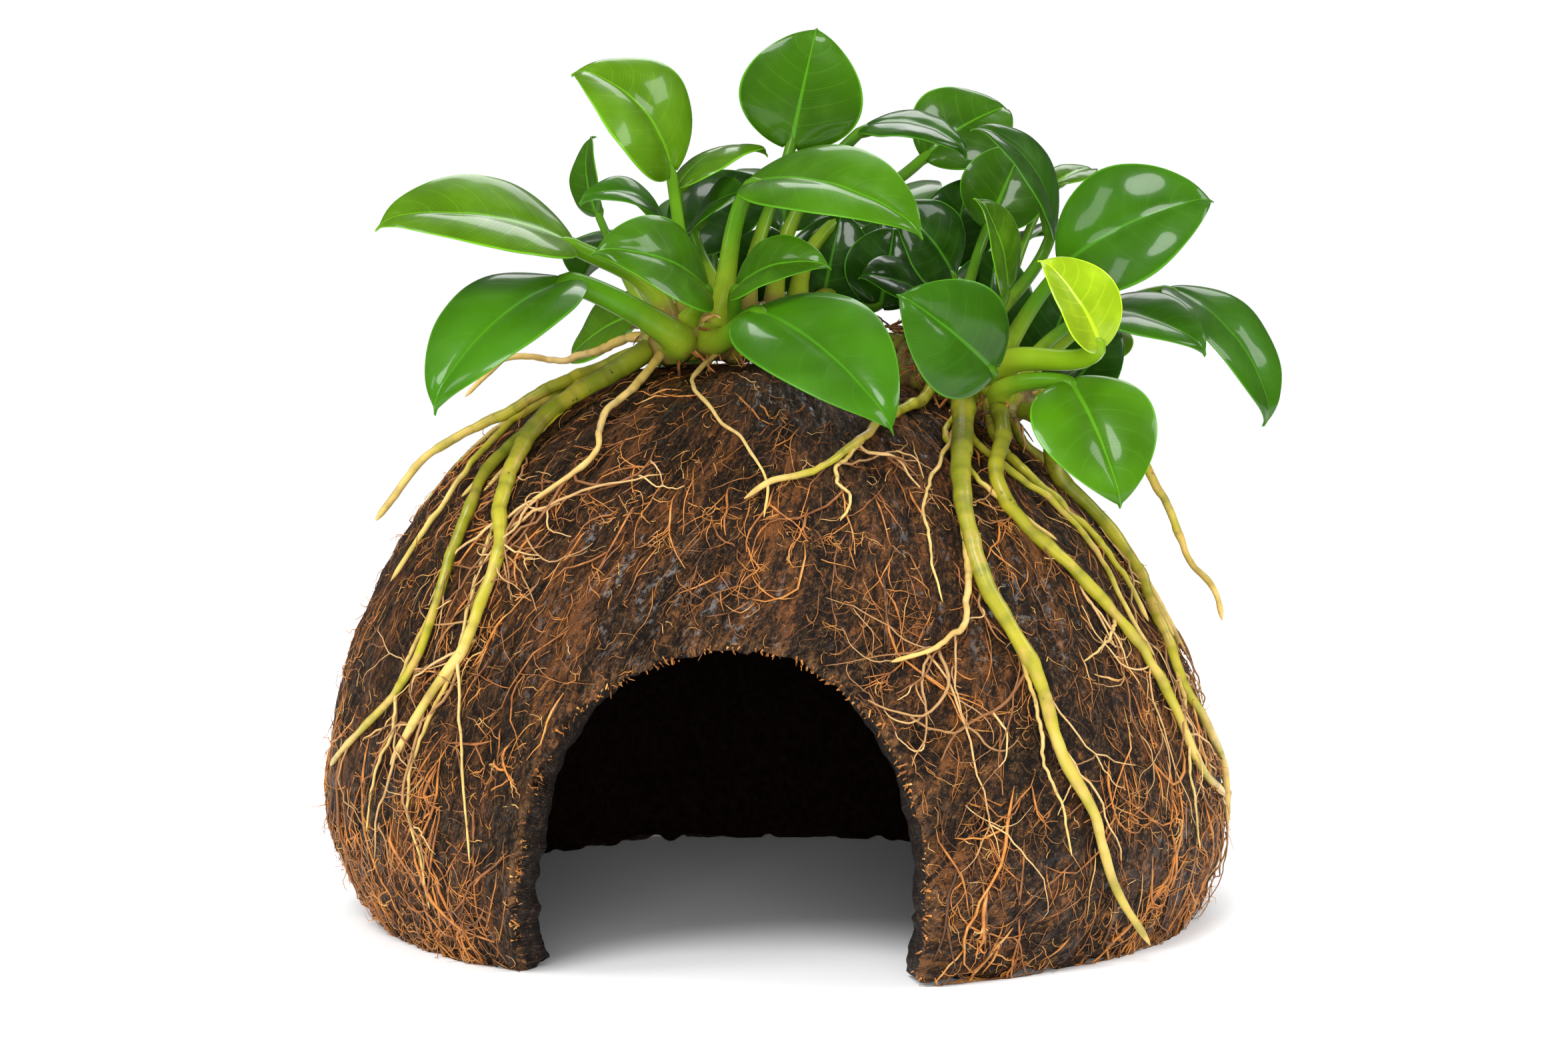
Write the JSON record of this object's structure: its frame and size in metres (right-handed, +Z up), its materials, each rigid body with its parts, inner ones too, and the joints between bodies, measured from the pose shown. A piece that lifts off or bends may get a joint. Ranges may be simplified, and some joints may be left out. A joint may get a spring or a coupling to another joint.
{
  "type": "anubias on coconut cave",
  "caption": "Broad-leaved water plant with creeping rhizomes and long roots, grown over a half coconut shell that has an arched doorway and shelters small fish.",
  "frame": {"origin": "on the floor, at the middle of the whole plant's footprint box; the shell's own upright axis stands 2.5 mm towards -X and 1.4 mm towards -Y of it", "axes": "+Z up out of the floor, -Y towards the doorway's side, +X to the right as seen from the doorway"},
  "size_m": [0.1272, 0.1172, 0.119],
  "materials": {
    "coconut_husk": "matte",
    "rhizome": "satin",
    "leaf_deep": "gloss",
    "leaf_mid": "gloss",
    "leaf_light": "gloss",
    "leaf_young": "gloss",
    "root_green": "satin",
    "root_pale": "satin"
  },
  "bodies": {
    "root": {"coconut_shell": "coconut_husk", "rhizome_left": "rhizome", "rhizome_right": "rhizome", "leaf_01": "leaf_light", "leaf_02": "leaf_light", "leaf_03": "leaf_deep", "leaf_04": "leaf_deep", "leaf_05": "leaf_mid", "leaf_06": "leaf_deep", "leaf_07": "leaf_mid", "leaf_08": "leaf_light", "leaf_09": "leaf_mid", "leaf_10": "leaf_mid", "leaf_11": "leaf_deep", "leaf_12": "leaf_mid", "leaf_13": "leaf_mid", "leaf_14": "leaf_deep", "leaf_15": "leaf_light", "leaf_16": "leaf_deep", "leaf_17": "leaf_deep", "leaf_18": "leaf_deep", "leaf_19": "leaf_young", "leaf_20": "leaf_light", "leaf_21": "leaf_deep", "leaf_22": "leaf_deep", "leaf_23": "leaf_deep", "leaf_24": "leaf_mid", "leaf_25": "leaf_deep", "leaf_26": "leaf_mid", "leaf_27": "leaf_light", "leaf_28": "leaf_light", "leaf_29": "leaf_light", "leaf_30": "leaf_deep", "leaf_31": "leaf_mid", "leaf_32": "leaf_deep", "leaf_33": "leaf_mid", "leaf_34": "leaf_deep", "leaf_35": "leaf_deep", "leaf_36": "leaf_deep", "leaf_37": "leaf_mid", "leaf_38": "leaf_deep", "leaf_39": "leaf_deep", "leaf_40": "leaf_deep", "root_01": "root_green", "root_02": "root_green", "root_03": "root_green", "root_04": "root_pale", "root_05": "root_green", "root_06": "root_pale", "root_07": "root_green", "root_08": "root_green", "root_09": "root_pale", "root_10": "root_green", "root_11": "root_green", "root_12": "root_green", "root_13": "root_green", "root_14": "root_pale", "root_15": "root_green", "root_16": "root_green", "root_17": "root_green"}
  },
  "joints": []
}
